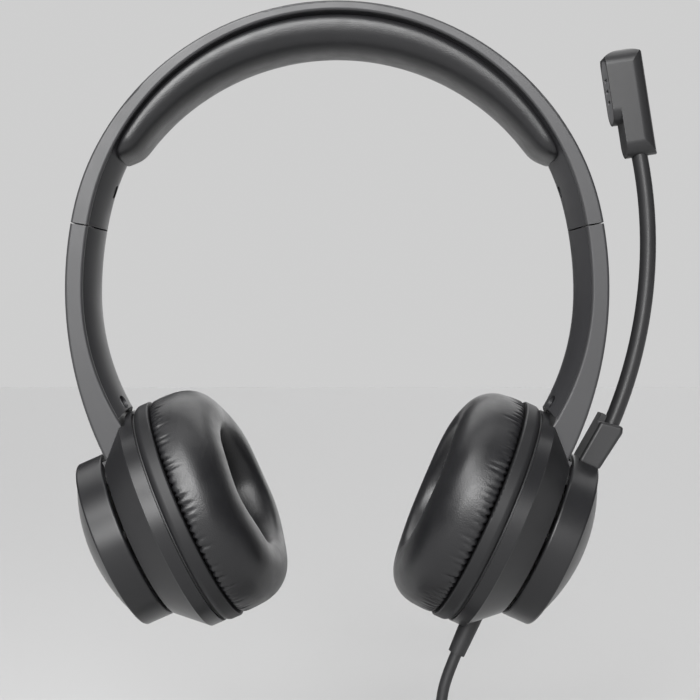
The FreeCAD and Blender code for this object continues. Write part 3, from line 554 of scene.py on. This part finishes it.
CORD_ROUTE = (
    (0.03631, 0, -0.18159),
    (0.03295, 0, -0.18940),
    (0.03150, 0, -0.19720),
    (0.03140, 0, -0.20520),
    (0.03175, 0, -0.21380),
)
COIL_CENTRE = Vector((0.0065, 0, -0.2270))
COIL_LAYERS = 4
COIL_MEAN_RADIUS = 0.0200
POINTS_PER_TURN = 16
PLUG_ENTRY = Vector((-0.0100, 0.00525, -0.2510))
PLUG_INSIDE = 0.0040
COIL_EXIT_DROP = 0.0252
COIL_EXIT_X = 0.0
CROSSOVER = 0.3


def coil_points():
    """Sixteen turns: four flat spirals side by side, in, out, in and out again."""
    half = (COIL_LAYERS - 1) / 2
    levels = []
    for layer in range(COIL_LAYERS):
        radii = [COIL_MEAN_RADIUS + (half - turn) * CORD_DIAMETER for turn in range(COIL_LAYERS)]
        radii = radii if layer % 2 == 0 else radii[::-1]
        levels += [(radius, (layer - half) * CORD_DIAMETER) for radius in radii]
    widen = 1 / math.cos(math.pi / POINTS_PER_TURN)
    points = []
    total = len(levels) * POINTS_PER_TURN
    for index in range(total - POINTS_PER_TURN // 4 * 3 + 1):
        turn, part = divmod(index, POINTS_PER_TURN)
        radius, level = levels[turn]
        next_radius, next_level = levels[min(turn + 1, len(levels) - 1)]
        blend = max(0.0, part / POINTS_PER_TURN - (1 - CROSSOVER)) / CROSSOVER
        radius = (radius + (next_radius - radius) * blend) * widen
        level = level + (next_level - level) * blend
        angle = -2 * math.pi * index / POINTS_PER_TURN
        points.append((COIL_CENTRE.x + radius * math.cos(angle), level,
                       COIL_CENTRE.z + radius * math.sin(angle)))
    return points


def add_cord():
    points = list(CORD_ROUTE) + coil_points()[2:]
    points.append((COIL_EXIT_X, PLUG_ENTRY.y, COIL_CENTRE.z - COIL_EXIT_DROP))
    points.append(tuple(PLUG_ENTRY))
    points.append((PLUG_ENTRY.x - PLUG_INSIDE, PLUG_ENTRY.y, PLUG_ENTRY.z))
    curve = bpy.data.curves.new("cord_line", "CURVE")
    curve.dimensions = "3D"
    spline = curve.splines.new("NURBS")
    spline.points.add(len(points) - 1)
    for knot, point in zip(spline.points, points):
        knot.co = (*point, 1.0)
    spline.order_u = 3
    spline.use_endpoint_u = True
    spline.resolution_u = 6
    curve.bevel_depth = CORD_RADIUS
    curve.bevel_resolution = 5
    curve.use_fill_caps = True
    curve.materials.append(MATERIALS["cord_rubber"])
    cord = bpy.data.objects.new("cord_line", curve)
    bpy.context.scene.collection.objects.link(cord)
    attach(cord, "left_cup")
    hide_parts("cord", "cord_coil")
    return cord


# ---------------------------------------------------------------- stage, lights and camera

def add_floor():
    """A plain pale floor."""
    low = cad_box[0][2]
    mesh = bpy.data.meshes.new("floor")
    reach = FLOOR_REACH
    corners = [(-reach, -reach, low), (reach, -reach, low), (reach, reach, low), (-reach, reach, low)]
    mesh.from_pydata(corners, [], [(0, 1, 2, 3)])
    mesh.materials.append(Material("floor_white", (FLOOR_TONE,) * 3, 0.9).material)
    floor = bpy.data.objects.new("floor", mesh)
    bpy.context.scene.collection.objects.link(floor)


def add_light(name, place, target, size, power):
    light = bpy.data.lights.new(name, "AREA")
    light.shape = "RECTANGLE"
    light.size, light.size_y = size
    light.energy = power
    lamp = bpy.data.objects.new(name, light)
    lamp.location = place
    lamp.rotation_euler = (Vector(target) - Vector(place)).to_track_quat("-Z", "Y").to_euler()
    bpy.context.scene.collection.objects.link(lamp)


def add_soft_sun(name, towards, strength, spread):
    """Wide, soft light from far away, so that it falls evenly on the whole floor."""
    light = bpy.data.lights.new(name, "SUN")
    light.energy = strength
    light.angle = math.radians(spread)
    lamp = bpy.data.objects.new(name, light)
    lamp.rotation_euler = Vector(towards).to_track_quat("Z", "Y").to_euler()
    bpy.context.scene.collection.objects.link(lamp)


def add_world():
    """A pale backdrop for the camera, and a dimmer grey surround for what it lights."""
    world = bpy.data.worlds.new("studio")
    bpy.context.scene.world = world
    world.use_nodes = True
    tree = world.node_tree
    background = tree.nodes["Background"]
    background.inputs["Color"].default_value = SURROUND
    backdrop = tree.nodes.new("ShaderNodeBackground")
    backdrop.inputs["Color"].default_value = (BACKDROP, BACKDROP, BACKDROP, 1.0)
    mix = tree.nodes.new("ShaderNodeMixShader")
    path = tree.nodes.new("ShaderNodeLightPath")
    tree.links.new(path.outputs["Is Camera Ray"], mix.inputs["Fac"])
    tree.links.new(background.outputs["Background"], mix.inputs[1])
    tree.links.new(backdrop.outputs["Background"], mix.inputs[2])
    tree.links.new(mix.outputs["Shader"], tree.nodes["World Output"].inputs["Surface"])


def add_camera():
    camera = bpy.data.cameras.new("camera")
    camera.lens = CAMERA_LENS
    camera.sensor_width = SENSOR_WIDTH
    camera.clip_start = NEAREST_SEEN
    holder = bpy.data.objects.new("camera", camera)
    holder.location = CAMERA_PLACE
    holder.rotation_euler = (math.pi / 2, 0, 0)
    bpy.context.scene.collection.objects.link(holder)
    bpy.context.scene.camera = holder


dress_cad_nodes()
for cushion_side, cushion_seed in (("left", 11), ("right", 23)):
    ear_cushion(cushion_side, cushion_seed)
headband_pad()
add_cord()
add_floor()
add_world()
add_soft_sun("front", (-0.10, -0.93, 0.34), 3.2, 32)
add_soft_sun("overhead", (0.0, 0.36, 0.93), 2.2, 76)
add_soft_sun("behind", (0.35, 0.93, 0.10), 0.7, 50)
add_light("key", (-0.22, -0.38, 0.26), (-0.02, 0, 0.01), (0.28, 0.28), 2.2)
add_camera()
bpy.context.scene.view_settings.view_transform = "Standard"
